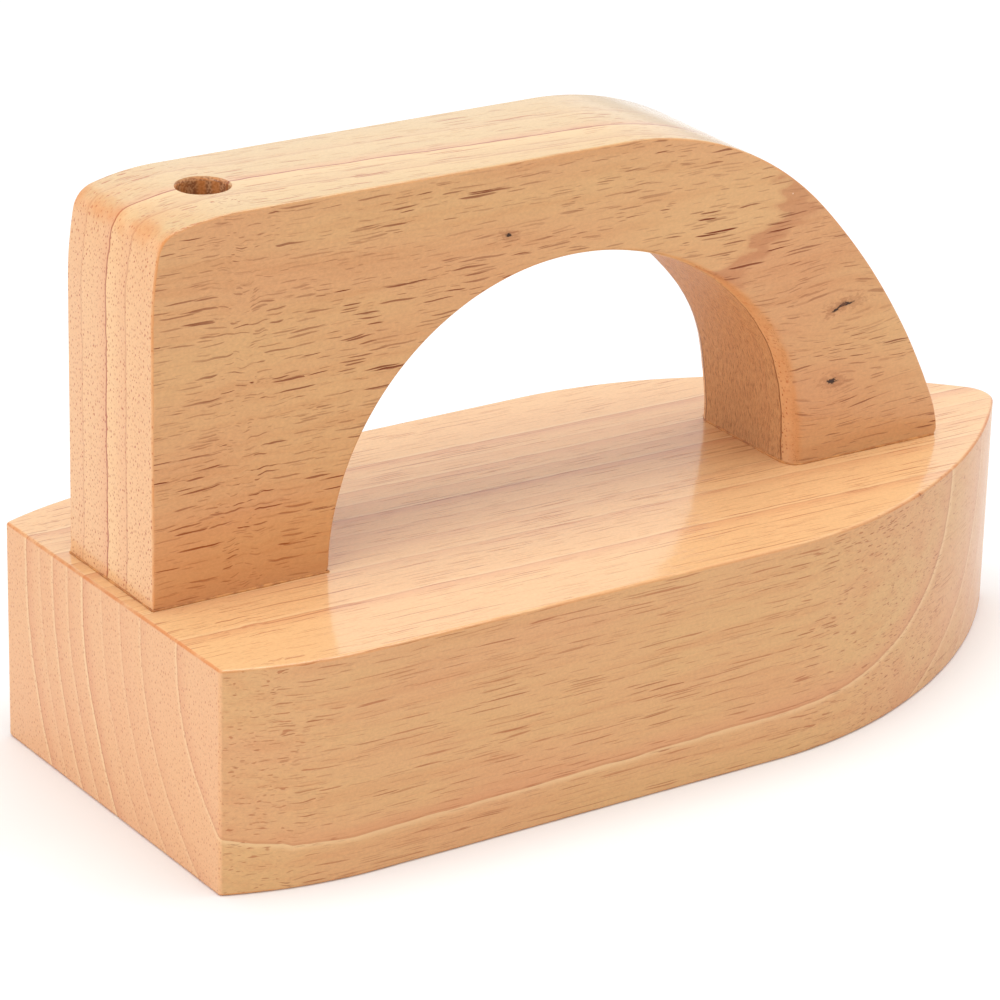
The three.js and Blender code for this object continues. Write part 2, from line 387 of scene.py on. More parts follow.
def ring_steps(n, row, rows, ease_steps):
    """Rows count out from the middle of the edge: the first is on the outline, the last inside the cap.
    Gives the side of the board, the share of the way round the ease, and 1 for the row in the cap."""
    from_middle = n.minus(row, n.over(n.minus(rows, 1), 2))
    side = n.math("SIGN", from_middle)
    step = n.minus(n.math("ABSOLUTE", from_middle), 0.5)
    share = n.over(step, ease_steps, clamp=True)
    in_cap = n.math("GREATER_THAN", step, n.plus(ease_steps, 0.5))
    return side, share, in_cap


def uneven_ease(n, ease, here, side, unevenness):
    """Hand sanding leaves the rounding a little uneven along the edge, and not alike on the two sides."""
    lifted = n.vector("ADD", here, n.join(0.0, 0.0, n.times(side, SIDES_APART)))
    uneven = n.out("ShaderNodeTexNoise", {"Vector": lifted, "Scale": SANDING_SCALE, "Detail": 2.0})
    swing = n.times(n.minus(uneven, 0.5), n.times(unevenness, 4))
    return n.times(ease, n.plus(swing, 1))


def board_skin(n, given):
    """Rings of the outline, inset round each edge by the quarter circle of the ease. The points carry
    two marks: "edge" peaks half way round the ease, "wall" is 1 on the wall and fades into it."""
    # A grid: one column for each point of the outline, one row for each ring.
    points = n.add("GeometryNodeAttributeDomainSize", {"Geometry": given["Outline"]}).outputs["Point Count"]
    rows = n.times_plus(given["Ease steps"], 2, 4)
    grid = n.add("GeometryNodeMeshGrid", {
        "Size X": 1.0, "Size Y": 1.0,
        "Vertices X": n.plus(points, 1), "Vertices Y": rows,
    }).outputs["Mesh"]
    index = n.out("GeometryNodeInputIndex")
    row = n.math("MODULO", index, rows)
    column = n.math("FLOOR", n.over(n.plus(index, 0.5), rows))

    def along_outline(value, kind, step):
        at = n.math("MODULO", n.plus(column, n.plus(points, step)), points)
        return n.out("GeometryNodeSampleIndex", {
            "Geometry": given["Outline"], "Value": value, "Index": at,
        }, data_type=kind, domain="POINT")

    position = n.out("GeometryNodeInputPosition")
    named = n.out("GeometryNodeInputNamedAttribute", {"Name": "ease"}, data_type="FLOAT")
    here = along_outline(position, "FLOAT_VECTOR", 0)
    along = n.vector("SUBTRACT", along_outline(position, "FLOAT_VECTOR", 1),
                     along_outline(position, "FLOAT_VECTOR", -1))
    outward = n.vector("NORMALIZE", n.vector("CROSS_PRODUCT", along, (0.0, 0.0, 1.0)))

    side, share, in_cap = ring_steps(n, row, rows, given["Ease steps"])
    angle = n.times(share, math.pi / 2)
    ease = uneven_ease(n, along_outline(named, "FLOAT", 0), here, side, given["Unevenness"])
    inset = n.times(ease, n.minus(1, n.math("COSINE", angle)))
    inset = n.times_plus(in_cap, n.times(ease, given["Cap border"]), inset)
    drop = n.times(ease, n.minus(1, n.math("SINE", angle)))
    level = n.times(side, n.minus(n.over(given["Thickness"], 2), drop))
    place = n.vector("SUBTRACT", here, n.vector("MULTIPLY", outward, n.join(inset, inset, inset)))
    place = n.vector("ADD", place, n.join(0.0, 0.0, level))
    skin = n.out("GeometryNodeSetPosition", {"Geometry": grid, "Position": place})
    marks = {
        "edge": n.math("SINE", n.times(share, math.pi)),
        "wall": n.times_plus(share, -4, 1, clamp=True),
    }
    for name, value in marks.items():
        skin = n.out("GeometryNodeStoreNamedAttribute", {
            "Geometry": skin, "Name": name, "Value": value,
        }, data_type="FLOAT", domain="POINT")
    return skin


def board_cap(n, skin, thickness, sign):
    """Fills the skin's open rim on one side."""
    neighbours = n.out("GeometryNodeInputMeshEdgeNeighbors")
    rim = n.out("FunctionNodeCompare", {
        "A": neighbours, "B": 1,
    }, data_type="INT", operation="EQUAL")
    height = n.split(n.out("GeometryNodeInputPosition"))[2]
    this_side = n.math("GREATER_THAN", n.times(height, sign), 0)
    chosen = n.out("FunctionNodeBooleanMath", {0: rim, 1: this_side}, operation="AND")
    curve = n.out("GeometryNodeMeshToCurve", {"Mesh": skin, "Selection": chosen})
    cap = n.out("GeometryNodeFillCurve", {"Curve": curve}, mode="NGONS")
    cap = n.out("GeometryNodeTransform", {
        "Geometry": cap, "Translation": n.join(0.0, 0.0, n.times(thickness, sign / 2)),
    })
    if sign < 0:
        cap = n.out("GeometryNodeFlipFaces", {"Mesh": cap})
    return cap


def eased_board_tree():
    """Turns a closed outline into a board with rounded edges: a skin round it and two flat caps. The
    cap border is a share of the ease."""
    tree = bpy.data.node_groups.new("eased_board", "GeometryNodeTree")
    add_sockets(tree, [
        ("Outline", "Geometry", None), ("Thickness", "Float", 0.02),
        ("Ease steps", "Int", 8), ("Cap border", "Float", 0.25),
        ("Unevenness", "Float", 0.1), ("Turn", "Rotation", None),
        ("Place", "Vector", None), ("Material", "Material", None),
    ], "Board")
    n = Nodes(tree)
    given = n.add("NodeGroupInput").outputs
    skin = n.out("GeometryNodeMergeByDistance", {
        "Geometry": board_skin(n, given), "Distance": SEAM_REACH,
    })
    parts = [skin] + [board_cap(n, skin, given["Thickness"], sign) for sign in (1, -1)]
    whole = n.add("GeometryNodeJoinGeometry").inputs[0]
    for part in reversed(parts):
        tree.links.new(part, whole)
    board = n.out("GeometryNodeMergeByDistance", {
        "Geometry": whole.node.outputs[0], "Distance": 2 * SEAM_REACH,
    })
    board = n.out("GeometryNodeTransform", {
        "Geometry": board, "Rotation": given["Turn"], "Translation": given["Place"],
    })
    close_tree(n, board, given["Material"], "Board")
    return tree


def dress(mesh, material):
    """One material on every face."""
    mesh.materials.clear()
    mesh.materials.append(material)
    mesh.polygons.foreach_set("material_index", [0] * len(mesh.polygons))


def grown(source, tree, values):
    """Runs a tree on an object and gives its result as a plain mesh object at the origin."""
    modifier = source.modifiers.new("tree", "NODES")
    modifier.node_group = tree
    for name, value in values.items():
        modifier[socket_of(tree, name)] = value
    graph = bpy.context.evaluated_depsgraph_get()
    mesh = bpy.data.meshes.new_from_object(source.evaluated_get(graph))
    dress(mesh, values["Material"])
    name = source.name
    source.name = name + "_source"
    mesh.name = name
    piece = placed(name, mesh)
    bpy.data.objects.remove(source)
    return piece


# ---- drills, dowels and glue ----

def turned(name, profile, place):
    """A closed turned solid on an upright axis, from (radius, height) pairs that start and end on it."""
    shape = bmesh.new()
    rings = []
    for radius, height in profile:
        sides = 1 if radius == 0 else HOLE_SIDES
        rings.append([shape.verts.new((
            (place.x + radius * math.cos(i / sides * math.tau)) * MM,
            (place.y + radius * math.sin(i / sides * math.tau)) * MM,
            (place.z + height) * MM)) for i in range(sides)])
    for low, high in zip(rings, rings[1:]):
        for i in range(HOLE_SIDES):
            corners = [low[i % len(low)], low[(i + 1) % len(low)],
                       high[(i + 1) % len(high)], high[i % len(high)]]
            shape.faces.new(list(dict.fromkeys(corners)))
    mesh = bpy.data.meshes.new(name)
    shape.to_mesh(mesh)
    shape.free()
    return placed(name, mesh)


def cord_drill():
    """A twist drill and its pointed end, opened a little at the mouth."""
    mouth = []
    for angle in map(math.radians, MOUTH_ANGLES):
        out = MOUTH_EASE * (1 - math.cos(angle))
        mouth.append((CORD_HOLE_RADIUS + out, MOUTH_EASE * (math.sin(angle) - 1)))
    point = [(0, -CORD_HOLE_DEPTH - DRILL_POINT), (CORD_HOLE_RADIUS, -CORD_HOLE_DEPTH)]
    collar = [(CORD_HOLE_RADIUS + DRILL_COLLAR, DRILL_COLLAR), (0, DRILL_COLLAR)]
    top = Vector((0, 0, HANDLE_FOOT + HANDLE_RISE))
    return turned("cord_drill", point + mouth + collar, on_handle(CORD_HOLE_X) + top)


def dowel_drill(x):
    radius = DOWEL_RADIUS + DOWEL_CLEARANCE
    low = DOWEL_IN_HANDLE - DOWEL_LENGTH - DOWEL_END_ROOM
    high = DOWEL_IN_HANDLE + DOWEL_END_ROOM
    top = Vector((0, 0, BLOCK_HEIGHT))
    return turned("dowel_drill", [(0, low), (radius, low), (radius, high), (0, high)], on_handle(x) + top)


def on_handle(x):
    """A place along the handle's middle line, at the level of the ground."""
    middle = Vector((REAR_END + OPENING_MIDDLE, HANDLE_OFFSET, 0))
    along = unit(HANDLE_TURN).to_3d()
    return middle + along * (x - OPENING_MIDDLE)


def close_slivers(mesh):
    """Joins points that a cut leaves on top of each other."""
    shape = bmesh.new()
    shape.from_mesh(mesh)
    bmesh.ops.remove_doubles(shape, verts=shape.verts, dist=SLIVER * MM)
    shape.to_mesh(mesh)
    shape.free()


def drill(board, drills):
    """Cuts each drill out of a board, then lets only the board's true edges stay crisp."""
    for cutter in drills:
        cut = board.modifiers.new("cut", "BOOLEAN")
        cut.object = cutter
        cut.solver = "EXACT"
    graph = bpy.context.evaluated_depsgraph_get()
    mesh = bpy.data.meshes.new_from_object(board.evaluated_get(graph))
    close_slivers(mesh)
    dress(mesh, board.data.materials[0])
    board.modifiers.clear()
    board.data = mesh
    mesh.set_sharp_from_angle(angle=CRISP_ANGLE)
    for cutter in drills:
        bpy.data.objects.remove(cutter)


def dowel_tree():
    """A fluted dowel standing on its lower end: rings of points round its axis, closed at both ends."""
    tree = bpy.data.node_groups.new("fluted_dowel", "GeometryNodeTree")
    add_sockets(tree, [
        ("Given", "Geometry", None), ("Radius", "Float", 0.004),
        ("Length", "Float", 0.03), ("Chamfer", "Float", 0.001),
        ("Flutes", "Int", 12), ("Flute depth", "Float", 0.0004),
        ("Points per flute", "Int", 10), ("Place", "Vector", None),
        ("Material", "Material", None),
    ], "Dowel")
    n = Nodes(tree)
    given = n.add("NodeGroupInput").outputs
    around = n.times(given["Flutes"], given["Points per flute"])
    rows = DOWEL_ROWS
    grid = n.add("GeometryNodeMeshGrid", {
        "Size X": 1.0, "Size Y": 1.0, "Vertices X": n.plus(around, 1), "Vertices Y": rows,
    }).outputs["Mesh"]
    index = n.out("GeometryNodeInputIndex")
    row = n.math("MODULO", index, rows)
    column = n.math("MODULO", n.math("FLOOR", n.over(n.plus(index, 0.5), rows)), around)
    angle = n.times(n.over(column, around), math.tau)

    # Rows from either end: the pole, the chamfer's small rim, the chamfer's large rim.
    from_end = n.math("MINIMUM", row, n.minus(rows - 1, row))
    off_pole = n.math("GREATER_THAN", from_end, 0.5)
    on_body = n.math("GREATER_THAN", from_end, 1.5)
    wave = n.math("MAXIMUM", n.math("COSINE", n.times(angle, given["Flutes"])), 0)
    radius = n.minus(given["Radius"], n.times(wave, given["Flute depth"]))
    narrowed = n.times(n.minus(1, on_body), given["Chamfer"])
    radius = n.times(n.minus(radius, narrowed), off_pole)
    rise = n.times(on_body, given["Chamfer"])
    upper = n.math("GREATER_THAN", row, rows / 2 - 0.5)
    height = n.times(upper, n.minus(given["Length"], n.times(rise, 2)))
    place = n.join(n.times(radius, n.math("COSINE", angle)),
                   n.times(radius, n.math("SINE", angle)), n.plus(height, rise))
    skin = n.out("GeometryNodeSetPosition", {
        "Geometry": grid, "Position": n.vector("ADD", place, given["Place"]),
    })
    dowel = n.out("GeometryNodeMergeByDistance", {"Geometry": skin, "Distance": SEAM_REACH})
    close_tree(n, dowel, given["Material"], "Dowel")
    return tree


def glue_tree():
    """A thin bead along a closed path, squeezed out unevenly."""
    tree = bpy.data.node_groups.new("glue_bead", "GeometryNodeTree")
    add_sockets(tree, [
        ("Path", "Geometry", None), ("Radius", "Float", 0.0002),
        ("Sides", "Int", 8), ("Seed", "Float", 3.0),
        ("Material", "Material", None),
    ], "Bead")
    n = Nodes(tree)
    given = n.add("NodeGroupInput").outputs
    curve = n.out("GeometryNodeMeshToCurve", {"Mesh": given["Path"]})
    swell = n.out("ShaderNodeTexNoise", {
        "W": given["Seed"], "Scale": 260.0, "Detail": 2.0,
    }, noise_dimensions="4D")
    swell = n.times_plus(n.minus(swell, 0.5), 2.2, 0.85)
    section = n.out("GeometryNodeCurvePrimitiveCircle", {
        "Resolution": given["Sides"], "Radius": given["Radius"],
    })
    bead = n.out("GeometryNodeCurveToMesh", {
        "Curve": curve, "Profile Curve": section, "Scale": n.math("MAXIMUM", swell, 0.25),
    })
    close_tree(n, bead, given["Material"], "Bead")
    return tree


def foot_path(name, start, end, start_rounding):
    """The outline of one foot where it meets the block, between two distances from the rear end."""
    half = HANDLE_THICKNESS / 2 - FOOT_EASE / 2
    corners = [Vector(corner) for corner in ((start, -half), (end, -half), (end, half), (start, half))]

    def rounding(corner):
        return start_rounding if corner.x < (start + end) / 2 else REAR_FOOT_CORNER

    points = fill_straights(round_corners(corners, rounding))
    mesh = bpy.data.meshes.new(name)
    across = unit(HANDLE_TURN + math.pi / 2).to_3d()
    level = Vector((0, 0, BLOCK_HEIGHT + GLUE_RADIUS / 2))
    places = [(on_handle(point.x) + across * point.y + level) * MM for point in points]
    mesh.from_pydata(places, [(i, (i + 1) % len(places)) for i in range(len(places))], [])
    return placed(name, mesh)


# ---- wood ----

LINE_WIDTH = 0.26  # the dark line that ends a year's growth, in millimetres
LATE_REACH = 3.0  # the tinged late wood inside that line
FIGURE_REACH = 5.0  # half the length of the curly figure
KNOT_PULL = 0.72  # how far a knot pushes the grain aside

# How long the features are along the grain, across it and upwards, in millimetres.
SWAY = (55.0, 22.0, 22.0)
RIPPLE = (6.5, 2.6, 2.6)
CURL = (5.0, 9.0, 7.0)
PATCH = (48.0, 13.0, 13.0)
BAND = (120.0, 1.6, 1.6)
FIBRE = (7.0, 0.22, 0.22)
MOTTLE = (0.55, 0.32, 0.32)
STREAK = (38.0, 0.42, 0.42)
CLUMP = (26.0, 6.0, 6.0)
BLOTCH = (4.0, 4.0, 4.0)
SAW_MARK = (1.0, 0.15, 1.0)
CRUMB = (0.3, 0.3, 0.3)
KNOT_TEAR = (0.9, 3.0, 0.45)
WEAR = (5.0, 5.0, 5.0)
BURR = (3.0, 30.0, 3.0)
PEEL = (0.6, 0.4, 0.4)
WAVE = (14.0, 6.0, 6.0)
END_PORE_SPACING = 0.54
END_PORE_FILL = 0.33
DUST_AND_GLINT_SPACING = 9.0
DUST_AND_GLINT_RADIUS = 0.13
HALO_SIZE = 3.2  # times the knot inside it

# How deep they are, in millimetres.
PORE_DEPTH = 0.03
PEEL_DEPTH = 0.007
WAVE_DEPTH = 0.05
SAW_MARK_DEPTH = 0.12

# How strongly they colour the wood.
END_TINGE = 0.8
SMALL_VESSELS = 0.42
REAR_SOAK = 0.5
LOW_REAR_DARKENING = 0.3
SAWN_TINGE_AND_SHADE = 0.85
HAIR_TINGE = 0.6
RAISED_TINGE = 0.5
HALO_TINGE = 0.3
HEART_TINGE = 0.93
BURR_TINGE = 0.8
DUST_AND_GLINT_TINGE = 0.6

SOAKED = "d8803c"
# the dark brown painted as shade inside the cord hole
HOLE_SHADE = "7e3c18"
# near-white specks, partly dust and partly painted glints
DUST_AND_GLINT = "fff2dc"
GLUE_DARK = "b06a34"
GLUE_LIGHT = "dc9a58"

# What a face holds of a full coat of lacquer.
SIDE_LACQUER = 0.35
END_LACQUER = 0.3
EDGE_LACQUER = 0.25


def new_material(name):
    """A material, its shader and a builder for its nodes."""
    material = bpy.data.materials.new(name)
    material.use_nodes = True
    tree = material.node_tree
    return material, tree.nodes["Principled BSDF"], Nodes(tree)


def colour(hexadecimal):
    """A colour written as six hexadecimal digits, as the shader wants it."""
    parts = [int(hexadecimal[i:i + 2], 16) / 255 for i in (0, 2, 4)]
    linear = [((c + 0.055) / 1.055) ** 2.4 if c > 0.04045 else c / 12.92 for c in parts]
    return (*linear, 1.0)


def noise(n, spot, lengths, shift=0.0, detail=2.0, roughness=0.5):
    """Noise whose features are about as long along each axis as given, in millimetres."""
    scaled = n.vector("DIVIDE", spot, lengths)
    moved = n.vector("ADD", scaled, (shift, shift, shift))
    return n.add("ShaderNodeTexNoise", {
        "Vector": moved, "Scale": 1.0, "Detail": detail, "Roughness": roughness,
    }).outputs


def ramp(n, value, low, high):
    """Runs from 0 to 1 as the value goes from low to high, smoothly."""
    return n.out("ShaderNodeMapRange", {
        "Value": value, "From Min": low, "From Max": high,
    }, interpolation_type="SMOOTHSTEP")


def blend(n, share, a, b):
    node = n.add("ShaderNodeMix", {"Factor": share}, data_type="RGBA", blend_type="MIX")
    n.feed(node.inputs[6], a)
    n.feed(node.inputs[7], b)
    return node.outputs[2]


def lay(n, body, share, strength, tone):
    """Lays a colour over the body."""
    return blend(n, n.times(share, strength), body, colour(tone))


def board_spot(n, place, turn):
    """The spot on the piece in the board's own millimetres, with x along the grain."""
    given = n.add("ShaderNodeTexCoord").outputs["Object"]
    return n.out("ShaderNodeMapping", {
        "Vector": given, "Location": [c * MM for c in place], "Rotation": (0, 0, turn),
        "Scale": (MM, MM, MM),
    }, vector_type="TEXTURE")


def round_knot(n, spot, centre, reach):
    """Makes the grain part round a knot."""
    away = n.vector("SUBTRACT", spot, centre)
    flat = n.vector("LENGTH", n.vector("DIVIDE", away, (reach * 1.6, reach * 2.0, reach)))
    near = n.math("EXPONENT", n.times(n.times(flat, flat), -1))
    pull = n.times(near, KNOT_PULL)
    return n.vector("SUBTRACT", spot, n.vector("MULTIPLY", away, n.join(0.0, 0.0, pull)))


def shaken(n, spot, pattern, reach):
    """Moves a spot across the grain by a noise pattern."""
    away = n.vector("SUBTRACT", pattern, (0.5, 0.5, 0.5))
    return n.vector("ADD", spot, n.vector("MULTIPLY", away, reach))


def bend_grain(n, spot, board):
    """The grain runs out of the board at a slight angle, with a slow sway and a short ripple, which is
    strongest at the board's figure."""
    x = n.split(spot)[0]
    spot = n.vector("ADD", spot, n.join(0.0, n.times(x, board.runout), 0.0))
    slow = noise(n, spot, SWAY, board.shift)[1]
    quick = noise(n, spot, RIPPLE, board.shift + 5)[1]
    spot = shaken(n, spot, slow, (0.0, board.sway, board.sway))
    curly = noise(n, spot, CURL, board.shift + 7)[1]
    spot = shaken(n, spot, quick, (0.0, board.ripple, board.ripple))
    from_figure = n.over(n.minus(x, board.figure), FIGURE_REACH)
    near = n.math("EXPONENT", n.times(n.times(from_figure, from_figure), -1))
    reach = n.times(near, 4 * board.ripple)
    return shaken(n, spot, curly, n.join(0.0, reach, reach))


def growth_rings(n, grain, board):
    """Where one year's wood ends. Gives three shares: a thin dark line, the paler wood just outside it,
    and the tinged late wood just inside it."""
    from_pith = n.vector("MULTIPLY", n.vector("SUBTRACT", grain, (0.0, *board.pith)), (0.0, 1.0, 1.0))
    radius = n.vector("LENGTH", from_pith)
    dark, pale, late = 0.0, 0.0, 0.0
    for ring, strength in board.rings:
        gap = n.minus(radius, ring)
        line = ramp(n, n.math("ABSOLUTE", n.plus(gap, LINE_WIDTH / 2)), LINE_WIDTH, LINE_WIDTH / 4)
        outside = n.times(ramp(n, gap, board.pale_reach, 0.0), n.math("GREATER_THAN", gap, 0.0))
        inside = n.times(ramp(n, gap, -LATE_REACH, 0.0), n.math("LESS_THAN", gap, 0.0))
        dark = n.times_plus(line, strength, dark)
        pale = n.times_plus(outside, strength, pale)
        late = n.times_plus(inside, strength, late)
    return dark, pale, late


def hollows(n, scaled, fill, rim, faintest, dimensions="3D"):
    """One hollow in each cell of a scaled space, each of its own size and depth of colour."""
    found = n.add("ShaderNodeTexVoronoi", {
        "Vector": scaled, "Scale": 1.0, "Randomness": 1.0,
    }, voronoi_dimensions=dimensions).outputs
    pick = n.split(found["Color"])
    size = n.times_plus(pick[0], fill * 0.6, fill * 0.4)
    inside = ramp(n, n.over(found["Distance"], size), 1.0, rim)
    return n.times(inside, n.times_plus(pick[1], 1 - faintest, faintest))


def vessels(n, grain, cell, fill, shift):
    """Open vessels: long thin hollows along the grain, one in each cell of (length, width).
    They show as dashes on a face along the grain."""
    length, width = cell
    scaled = n.vector("DIVIDE", grain, (length, width, width))
    return hollows(n, n.vector("ADD", scaled, (shift, shift, shift)), fill, 0.65, 0.45)


def end_pores(n, grain, spacing, fill, shift):
    """The same vessels cut across: short upright ticks on an end face."""
    across = n.split(grain)
    flat = n.join(n.over(across[1], spacing), n.over(across[2], spacing * 1.5), 0.0)
    return hollows(n, n.vector("ADD", flat, (shift, shift, 0.0)), fill, 0.4, 0.3, "2D")


def specks(n, spot, spacing, radius, shift):
    """Sparse small round marks."""
    scaled = n.vector("ADD", n.vector("DIVIDE", spot, (spacing,) * 3), (shift,) * 3)
    found = n.add("ShaderNodeTexVoronoi", {"Vector": scaled, "Scale": 1.0, "Randomness": 1.0}).outputs
    return ramp(n, found["Distance"], radius / spacing, 0.4 * radius / spacing)


def knot_heart(n, spot, centre, size, tilt, shift):
    """A small dark ragged mark, drawn out along a tilted line and torn by noise."""
    away = n.out("ShaderNodeMapping", {
        "Vector": n.vector("SUBTRACT", spot, centre), "Rotation": (0, tilt, 0), "Scale": size,
    }, vector_type="TEXTURE")
    torn = noise(n, spot, KNOT_TEAR, shift, 3.0, 0.7)[0]
    near = n.plus(n.vector("LENGTH", away), n.times_plus(torn, 2.6, -1.3))
    return ramp(n, near, 1.0, 0.45)


def inside_opening(n, spot, facing, reach):
    """How surely a spot lies on the wall of the hand opening, whose middle is at x = z = 0."""
    if not reach:
        return 0.0
    away = n.vector("LENGTH", n.vector("MULTIPLY", spot, (1.0, 0.0, 1.0)))
    return n.times(ramp(n, away, reach, reach - 1), ramp(n, facing[1], 0.25, 0.1))


def inside_hole(n, spot, hole):
    """How surely a spot lies on the wall of the cord hole, given as (place along the board, radius)."""
    if not hole:
        return 0.0
    place, radius = hole
    from_axis = n.vector("MULTIPLY", n.vector("SUBTRACT", spot, (place, 0.0, 0.0)), (1.0, 1.0, 0.0))
    return ramp(n, n.vector("LENGTH", from_axis), radius + 0.4, radius + 0.1)


def surface(n, board):
    """Where a spot lies on a board, how the grain runs there, and how it was worked."""
    at = SimpleNamespace()
    at.spot = board_spot(n, board.place, board.turn)
    flowing = at.spot
    for centre, reach in board.knots:
        flowing = round_knot(n, flowing, centre, reach)
    at.grain = bend_grain(n, flowing, board)
    at.facing = n.split(n.vector("ABSOLUTE", n.add("ShaderNodeTexCoord").outputs["Normal"]))
    at.end = ramp(n, at.facing[0], 0.35, 0.95)
    at.side = ramp(n, at.facing[1], 0.7, 0.9)
    at.top = ramp(n, at.facing[2], 0.5, 0.95)
    at.long = n.minus(1, at.end)
    at.sawn = inside_opening(n, at.spot, at.facing, board.opening)
    at.by_opening = inside_opening(n, at.spot, [0.0, 0.0, 0.0], board.opening)
    at.bored = n.times(inside_hole(n, at.spot, board.hole), n.minus(1, at.top))
    at.torn = noise(n, at.spot, SAW_MARK, board.shift + 41, 3.0, 0.75)[0]
    at.wear = noise(n, at.spot, WEAR, board.shift + 47, 3.0)[0]
    return at


def plain_body(n, board, at):
    """Broad patches, then bands and fine streaks along the grain."""
    patch = ramp(n, noise(n, at.grain, PATCH, board.shift + 11)[0], 0.3, 0.7)
    body = blend(n, patch, colour(board.light), colour(board.deep))
    band = ramp(n, noise(n, at.grain, BAND, board.shift + 17, 3.0)[0], 0.42, 0.7)
    body = lay(n, body, band, board.banding, board.band)
    body = lay(n, body, at.end, END_TINGE, board.end)
    # Faces that look up are laid paler: painted light from above on the tops.
    body = lay(n, body, at.top, board.top_tinge, board.top)
    fibre = noise(n, at.grain, FIBRE, board.shift + 23, 3.0, 0.6)[0]
    mottle = noise(n, at.spot, MOTTLE, board.shift + 29, 2.0, 0.7)[0]
    value = n.times_plus(n.minus(fibre, 0.5), board.fibre, 1)
    value = n.times_plus(n.minus(mottle, 0.5), board.mottle, value)
    return n.out("ShaderNodeHueSaturation", {"Value": value, "Color": body})


def lay_rings(n, board, at, body):
    dark, pale, late = growth_rings(n, at.grain, board)
    for share, strength, tone in (
        (late, board.late_tinge, board.late),
        (pale, board.pale_tinge, board.pale),
        (dark, board.line_tinge, board.line),
    ):
        body = blend(n, n.times(share, strength, clamp=True), body, colour(tone))
    return body


def lay_streaks(n, board, at, body):
    streak = ramp(n, noise(n, at.grain, STREAK, board.shift + 31, 1.0)[0], 0.64, 0.74)
    streak = n.times(streak, n.times(at.long, board.streaks))
    return blend(n, streak, body, colour(board.streak))


def open_pores(n, board, at):
    """Vessels in clumps along the faces, their cut ends on the end faces, and none in the cord hole."""
    clumps = ramp(n, noise(n, at.grain, CLUMP, board.shift + 37)[0], 0.32, 0.6)
    clumps = n.times_plus(clumps, 0.8, 0.2)
    squeeze = n.join(1.0, n.times_plus(at.side, board.flatness, 1), 1.0)
    oval = n.vector("MULTIPLY", at.grain, squeeze)
    wide = vessels(n, oval, board.vessel_cell, board.vessel_fill, board.shift)
    small = vessels(n, oval, board.small_cell, board.vessel_fill, board.shift + 3)
    pores = n.math("MAXIMUM", n.times(wide, clumps), n.times(small, SMALL_VESSELS))
    pores = n.times(pores, at.long)
    ticks = end_pores(n, at.grain, END_PORE_SPACING, END_PORE_FILL, board.shift)
    ticks = n.times(ticks, at.end)
    pores = n.math("MAXIMUM", pores, n.times(ticks, board.end_dots))
    return n.times(pores, n.minus(1, at.bored))


def lay_pores(n, board, at, body, pores):
    shown = n.times_plus(at.top, board.top_dashes - 1, 1)
    shown = n.times(shown, board.vessel_tinge)
    stain = blend(n, at.side, colour(board.tick), colour(board.vessel))
    return blend(n, n.times(pores, shown), body, stain)


def lay_soak(n, board, at, body):
    """More lacquer soaks in where the rear end rounds over into the grip. The rear foot's sides are also
    laid darker and more orange towards the bottom.
    """
    lengthwise, _, upright = n.split(at.spot)
    rounded = n.times(n.times(at.facing[0], at.facing[2]), 2)
    rounded = n.times(ramp(n, rounded, 0.0, 1.0), ramp(n, lengthwise, -50.0, -58.0))
    blotch = ramp(n, noise(n, at.spot, BLOTCH, board.shift + 39, 3.0)[0], 0.25, 0.7)
    rounded = n.times(rounded, blotch)
    # The rear half of the sides is laid darker and more orange towards the foot.
    low = n.times(ramp(n, upright, 22.0, 0.0), ramp(n, lengthwise, 0.0, -30.0))
    low = n.times(low, at.side)
    soaked = n.math("MAXIMUM", n.times(rounded, REAR_SOAK), n.times(low, LOW_REAR_DARKENING))
    return lay(n, body, soaked, board.soak, SOAKED)


def lay_tool_marks(n, board, at, body):
    """The wall of the hand opening is left as the saw and the spindle leave it, fibrous, and is laid
    darker: partly its own torn end grain, partly painted shade under the arch.
    The cord hole's wall is painted dark brown in crumbly patches: painted shade inside the hole."""
    # Painted shade: the sawn wall is laid darker, partly its own torn end grain and partly the shade under
    # the arch.
    body = lay(n, body, at.sawn, SAWN_TINGE_AND_SHADE, board.sawn)
    hairs = n.times(at.sawn, ramp(n, at.torn, 0.5, 0.64))
    body = lay(n, body, hairs, HAIR_TINGE, board.hair)
    raised = n.times(at.sawn, ramp(n, at.torn, 0.44, 0.34))
    body = lay(n, body, raised, RAISED_TINGE, board.pale)
    # Painted shade inside the cord hole, broken into crumbly patches.
    crumbs = ramp(n, noise(n, at.spot, CRUMB, board.shift + 40, 0.0)[0], 0.35, 0.65)
    hole_shade = n.times(at.bored, n.times_plus(crumbs, 0.5, 0.25))
    return blend(n, hole_shade, body, colour(HOLE_SHADE))


def lay_knots(n, board, at, body):
    for centre, size, tilt in board.hearts:
        halo = knot_heart(n, at.spot, centre, [HALO_SIZE * width for width in size], tilt, board.shift + 45)
        body = lay(n, body, halo, HALO_TINGE, board.streak)
        heart = knot_heart(n, at.spot, centre, size, tilt, board.shift + 43)
        body = lay(n, body, heart, HEART_TINGE, board.heart)
    return body


def sanded_edge(n, at):
    """How much lacquer gathers on a sanded edge. The opening's edges are sanded less."""
    edge = n.add("ShaderNodeAttribute", attribute_name="edge").outputs["Fac"]
    edge = n.times(ramp(n, edge, 0.1, 0.9), ramp(n, at.wear, 0.2, 0.6))
    return n.times(edge, n.times_plus(at.by_opening, -0.5, 1))


